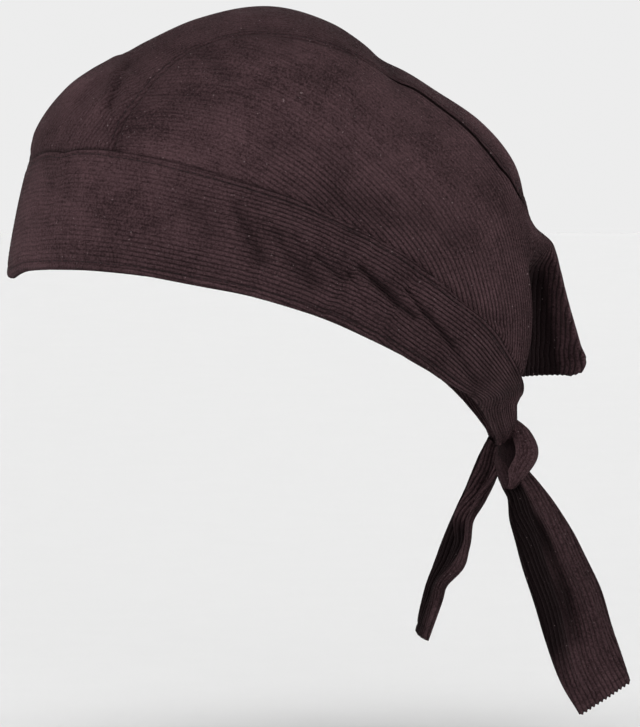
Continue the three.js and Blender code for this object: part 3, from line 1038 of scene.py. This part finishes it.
# Hanging ends: the front and the back edge of each strip, from inside the knot down
TAIL_COLUMNS = "row front_x front_y front_z back_x back_y back_z"
TAIL_LEFT = table(
    TAIL_COLUMNS,
    [
        (0, 3, 105.5, -76, 5, 107, -77),
        (1, 3, 98, -86, 5, 106, -78.5),
        (2, 5, 99, -92.6, 8, 111.4, -85.2),
        (3, 7, 99.6, -100.7, 10, 117.6, -93),
        (4, 8.5, 102.5, -110.9, 11, 125.3, -104.8),
        (5, 9, 105.7, -122, 11, 131, -115.8),
        (6, 9, 110.2, -135, 10, 137.4, -128.9),
        (7, 9, 114.7, -149.7, 9, 142, -143.6),
        (8, 8.5, 120.8, -166.9, 8, 146.6, -157.5),
        (9, 8, 128.6, -180.3, 7, 149.8, -166.9),
    ],
)
TAIL_RIGHT = table(
    TAIL_COLUMNS,
    [
        (0, -3, 91.5, -66.5, 0, 97.5, -72),
        (1, -9, 88.8, -73.5, -2, 97, -79),
        (2, -14, 86, -81.5, -4, 94.5, -85.5),
        (3, -19, 83.5, -90, -4, 89.5, -92.5),
        (4, -23, 79, -101, -3, 83.6, -101),
        (5, -25, 75.7, -109.6, -3, 83.2, -111.5),
        (6, -25, 72.4, -118.6, -2, 80.8, -119),
        (7, -25, 69, -128, -3, 73.4, -126.5),
        (8, -25, 66.6, -137, -3, 70.9, -133.8),
        (9, -25, 64.2, -148.7, -3, 65.4, -149),
    ],
)
# Folds along a hanging end: where each starts and ends, down the strip and across it
FOLD_COLUMNS = "row1 across1 row2 across2 width height"
FOLDS_LEFT = table(
    FOLD_COLUMNS,
    [
        (0.8, 0.14, 3.6, 0.08, 0.46, -7),
        (4.2, 0.05, 7.5, 0, 0.27, -5),
        (0.5, 0.66, 7, 0.78, 0.1, 3),
        (3.2, 0.46, 8, 0.3, 0.07, 2.2),
        (3.5, 0.6, 7, 0.5, 0.08, -1.2),
        (1, 1, 7, 1, 0.12, -2.4),
        (7, 0.62, 9, 0.6, 0.2, 0.8),
    ],
)
FOLDS_RIGHT = table(
    FOLD_COLUMNS,
    [
        (0, 0.3, 4, 0.45, 0.14, 3.5),
        (0, 0.8, 3, 0.9, 0.12, 2.2),
        (1, 0.65, 5, 0.7, 0.14, -2.5),
        (3, 0.3, 8, 0.32, 0.12, -3),
        (5, 0.9, 8.5, 0.7, 0.12, 1.6),
    ],
)
# Where a hanging end is painted in shade: how far across from its front edge, and how dark
SHADE_COLUMNS = "row across depth"
SHADE_LEFT = table(
    SHADE_COLUMNS,
    [
        (0, 0.55, 0.6),
        (2, 0.55, 0.9),
        (2.8, 0.53, 1),
        (4, 0.55, 1),
        (5, 0.46, 1),
        (6, 0.48, 1),
        (7.1, 0.38, 0.75),
        (7.9, 0.2, 0.2),
        (9, 0.1, 0),
    ],
)
SHADE_RIGHT = table(
    SHADE_COLUMNS,
    [
        (0, 0.4, 0.8),
        (2, 0.35, 0.9),
        (3.5, 0.4, 0.9),
        (4.5, 0.72, 0.95),
        (6, 0.85, 0.95),
        (9, 0.85, 0.95),
    ],
)


def tail(name, edges, folds, shade):
    """A hanging end of the band, between its two edges and with its folds."""
    rows, columns = TAIL_GRID
    last = edges["row"][-1]
    row, across = np.meshgrid(np.linspace(0, last, rows), np.linspace(0, 1, columns), indexing="ij")
    front, back = (
        np.stack([smooth(edges, "row", f"{edge}_{axis}", row) for axis in "xyz"], -1)
        for edge in ("front", "back")
    )
    width = back - front
    level = np.stack([np.zeros_like(row), width[..., 2], -width[..., 1]], -1)
    out = unit(np.cross(level, width))
    height = np.zeros_like(row)
    for row1, across1, row2, across2, wide, rise in zip(*folds.values()):
        here = ease(row1 - 0.8, row1 + 0.6, row) * ease(row2 + 1.2, row2 - 0.4, row)
        at = lerp(across1, across2, (row - row1) / (row2 - row1))
        height += here * rise * bell(across - at, wide)
    points = lerp(front, back, across[..., None]) + out * height[..., None]
    run = run_across(points)
    along = run_along(points)
    edge = np.minimum(run, run[:, -1:] - run)
    to_end = along[-1:] - along
    count = (run - run[:, -1:] / 2) / RIB_PITCH + TIE_RIB
    relief = turned_edge(edge, TIE_CLOTH) + turned_edge(to_end, TIE_CLOTH)
    relief = relief + stitch_groove(to_end, TIE_END_STITCH) + stitch_groove(edge, TIE_EDGE_STITCH)
    # Painted shade over part of the strip, darker in the fold valleys and painted lighter on the ridges,
    # with a dark line along the stitches at the end
    limit = smooth(shade, "row", "across", row)
    seam_and_painted_shade = smooth(shade, "row", "depth", row) * ease(limit + 0.15, limit - 0.12, across)
    folded = seam_and_painted_shade - np.where(height > 0, 0.17, 0.07) * height
    seam_and_painted_shade = np.clip(folded + 0.4 * bell(to_end - TIE_END_STITCH, 0.5), 0, 1)
    cord = np.stack([count, along, seam_and_painted_shade], -1)
    points = notched(points, to_end, count)
    clear = np.ones_like(row)
    piece, _, _ = cloth(name, points, cord, clear, relief, TIE_CLOTH, [cord_tie], TAIL_INNER_STEP)
    return piece


tail_left = tail("tail_cloth_left", TAIL_LEFT, FOLDS_LEFT, SHADE_LEFT)
tail_right = tail("tail_cloth_right", TAIL_RIGHT, FOLDS_RIGHT, SHADE_RIGHT)


# Knot: rolled strands of the same cloth
KNOT_HEART = np.array([0, 101.6, -74.5])
STRAND_COLUMNS = "x y z wide thick"
STRAND_RIBS = 14
STRAND_RIB_SHARE = 0.8


def strand(name, path, shade, closed=False):
    """A roll of ribbed cloth along a smooth path of x, y, z, with its width and thickness."""
    count, around = STRAND_GRID
    places = len(path["x"])
    rows = dict(path, row=np.arange(places, dtype=float))
    if closed:
        rows = {key: np.concatenate([path[key][-3:-1], path[key][:-1], path[key][:3]]) for key in path}
        rows["row"] = np.arange(len(rows["x"])) - 2.0
    at = np.linspace(0, places - 1, count)
    x, y, z, wide, thick = (smooth(rows, "row", key, at) for key in path)
    center_line = np.stack([x, y, z], -1)
    forward = unit(np.gradient(center_line, axis=0))
    if closed:
        forward[0] = forward[-1] = unit(forward[0] + forward[-1])
    away = center_line - KNOT_HEART
    away = unit(away - forward * np.sum(away * forward, -1, keepdims=True))
    side = np.cross(forward, away)
    turn = np.linspace(0, 2 * np.pi, around)
    rib = turn * STRAND_RIBS / (2 * np.pi)
    lift = STRAND_RIB_SHARE * rib_relief(rib)
    half_wide = wide[:, None] / 2 + lift
    half_thick = thick[:, None] / 2 + lift
    points = (
        center_line[:, None]
        + side[:, None] * (half_wide * np.sin(turn))[..., None]
        + away[:, None] * (half_thick * np.cos(turn))[..., None]
    )
    numbers = np.arange(count * around).reshape(count, around)
    faces = grid_faces(numbers).tolist()
    if not closed:
        faces += [numbers[0, :-1].tolist(), numbers[-1, -2::-1].tolist()]
    along = np.concatenate([[0], np.cumsum(np.linalg.norm(np.diff(center_line, axis=0), axis=1))])
    # The third part of the cord is the strand's painted shade
    cord = np.stack(np.broadcast_arrays(rib, along[:, None], shade), -1)
    clear = np.ones(cord[..., 0].size)
    piece = new_mesh(name, points.reshape(-1, 3), faces, cord.reshape(-1, 3).copy(), clear)
    piece.data.materials.append(cord_knot)
    return piece


# The number after each path is the strand's painted shade: the roll and the core are painted dark as the
# shadow in the knot, the loop and the ridge lit
knot_loop = strand(
    "knot_loop",
    table(
        STRAND_COLUMNS,
        [
            (1, 101, -61.5, 7, 5),
            (7, 104.5, -65, 8, 5),
            (9.5, 106.6, -72, 9, 5.5),
            (7.5, 103, -79.5, 8, 5),
            (1, 100.5, -85, 6, 5),
            (-6, 103, -81, 8, 5),
            (-9, 106, -72, 9, 5.5),
            (-6, 104, -65, 8, 5),
            (1, 101, -61.5, 7, 5),
        ],
    ),
    0.1,
    closed=True,
)
knot_ridge = strand(
    "knot_ridge",
    table(
        STRAND_COLUMNS,
        [
            (4, 100, -60, 3, 3),
            (9, 102.5, -66, 3.4, 3.4),
            (10.5, 103.4, -72, 3.4, 3.4),
            (9, 101.5, -79, 3.2, 3.2),
            (4, 100, -86, 3, 3),
        ],
    ),
    0,
)
knot_roll = strand(
    "knot_roll",
    table(
        STRAND_COLUMNS,
        [
            (-1, 98, -70, 5, 5),
            (2, 97.5, -75, 6.5, 6),
            (4.5, 98, -81, 6.5, 6),
            (2, 99.5, -86, 5, 4.5),
        ],
    ),
    0.65,
)
# The core is a dark roll that stands for the shadow in the pocket in the middle of the knot
knot_core = strand(
    "knot_core",
    table(
        STRAND_COLUMNS,
        [
            (0, 100, -62, 7, 7),
            (1.5, 101.8, -70, 13, 12),
            (1.5, 101.8, -78, 13, 12),
            (0, 100.5, -84, 7, 7),
        ],
    ),
    0.95,
)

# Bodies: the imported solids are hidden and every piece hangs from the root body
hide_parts("headband")
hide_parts("crown_center_panel")
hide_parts("crown_side_left")
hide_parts("crown_side_right")
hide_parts("tie_tail_left")
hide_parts("tie_tail_right")
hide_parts("tie_knot")
slots = {
    "band": (headband, band_stitching),
    "crown": (center, side_left, side_right, center_stitching),
    "tie": (tail_left, tail_right, knot_loop, knot_ridge, knot_roll, knot_core),
}
for slot, members in slots.items():
    for piece in members:
        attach(piece, "root")

# Camera: the long lens of the photograph, from the wearer's left
AZIMUTH = math.radians(84)
ELEVATION = math.radians(4)
DISTANCE = 3.5
VIEW_HEIGHT = 0.2967
VIEW_RIGHT = 0.022
VIEW_DOWN = 0.0353
SENSOR = 36
right = Vector((math.cos(AZIMUTH), math.sin(AZIMUTH), 0))
back = Vector(
    (
        math.sin(AZIMUTH) * math.cos(ELEVATION),
        -math.cos(AZIMUTH) * math.cos(ELEVATION),
        math.sin(ELEVATION),
    )
)
up = back.cross(right)
lens = bpy.data.cameras.new("camera")
lens.sensor_fit = "VERTICAL"
lens.sensor_height = SENSOR
lens.lens = SENSOR * DISTANCE / VIEW_HEIGHT
camera = bpy.data.objects.new("camera", lens)
place = right * VIEW_RIGHT - up * VIEW_DOWN + back * DISTANCE
camera.matrix_world = Matrix.Translation(place) @ Matrix((right, up, back)).transposed().to_4x4()
bpy.context.scene.collection.objects.link(camera)
bpy.context.scene.camera = camera


# Floor and light
LIGHT_SPREAD = 40
FLOOR_Z = -200.0
FLOOR_RADIUS = 4000
FLOOR_CORNERS = 96
BACKDROP = 0.845
DIM_SKY = 0.05


def soft_light(name, place, strength):
    """A far, wide light that shines from a place towards the cap."""
    data = bpy.data.lights.new(name, "SUN")
    data.angle = math.radians(LIGHT_SPREAD)
    data.energy = strength
    light = bpy.data.objects.new(name, data)
    light.rotation_euler = (-Vector(place)).to_track_quat("-Z", "Y").to_euler()
    light.location = place
    bpy.context.scene.collection.objects.link(light)


soft_light("front_light", (0.5, -1.5, 0.5), 3.0)
soft_light("high_light", (0.8, -0.3, 1.5), 1.7)
soft_light("side_light", (1.7, -0.2, 0.5), 0.85)
soft_light("back_light", (0.5, 1.3, 0.3), 2.7)
soft_light("far_light", (-1.4, 0.3, 0.3), 1.6)

floor_paint = Nodes("floor_paint")
floor_place = floor_paint.add("ShaderNodeTexCoord", "Object")
floor_grain = floor_paint.noise(floor_place, 30.0)
floor_paint.put(
    floor_paint.shader.inputs["Base Color"],
    floor_paint.mix(floor_grain, (0.63, 0.63, 0.63, 1), (0.65, 0.65, 0.65, 1)),
)
floor_paint.shader.inputs["Roughness"].default_value = 0.8
ring = np.linspace(0, 2 * np.pi, FLOOR_CORNERS, endpoint=False)
disc = np.stack([FLOOR_RADIUS * np.cos(ring), FLOOR_RADIUS * np.sin(ring), np.full_like(ring, FLOOR_Z)], -1)
floor = new_mesh("floor", disc, [list(range(FLOOR_CORNERS))])
floor.data.materials.append(floor_paint.material)

# The surroundings: a dim sky that fades downwards lights the cap, and the camera sees a plain pale backdrop
world = bpy.data.worlds.new("studio")
world.use_nodes = True
tree = world.node_tree
direction = tree.nodes.new("ShaderNodeTexCoord")
height = tree.nodes.new("ShaderNodeSeparateXYZ")
tree.links.new(direction.outputs["Generated"], height.inputs[0])
fade = tree.nodes.new("ShaderNodeMapRange")
tree.links.new(height.outputs[2], fade.inputs[0])
FADE = {"From Min": -0.3, "From Max": 1.0, "To Min": 0.15, "To Max": 1.0}
for name, value in FADE.items():
    fade.inputs[name].default_value = value
soft = tree.nodes["Background"]
tree.links.new(fade.outputs[0], soft.inputs["Strength"])
soft.inputs["Color"].default_value = (DIM_SKY, DIM_SKY, DIM_SKY, 1)
plain = tree.nodes.new("ShaderNodeBackground")
plain.inputs["Color"].default_value = (BACKDROP, BACKDROP, BACKDROP, 1)
ray = tree.nodes.new("ShaderNodeLightPath")
choice = tree.nodes.new("ShaderNodeMixShader")
tree.links.new(ray.outputs["Is Camera Ray"], choice.inputs[0])
tree.links.new(soft.outputs[0], choice.inputs[1])
tree.links.new(plain.outputs[0], choice.inputs[2])
tree.links.new(choice.outputs[0], tree.nodes["World Output"].inputs["Surface"])
bpy.context.scene.world = world
bpy.context.scene.view_settings.view_transform = "Standard"
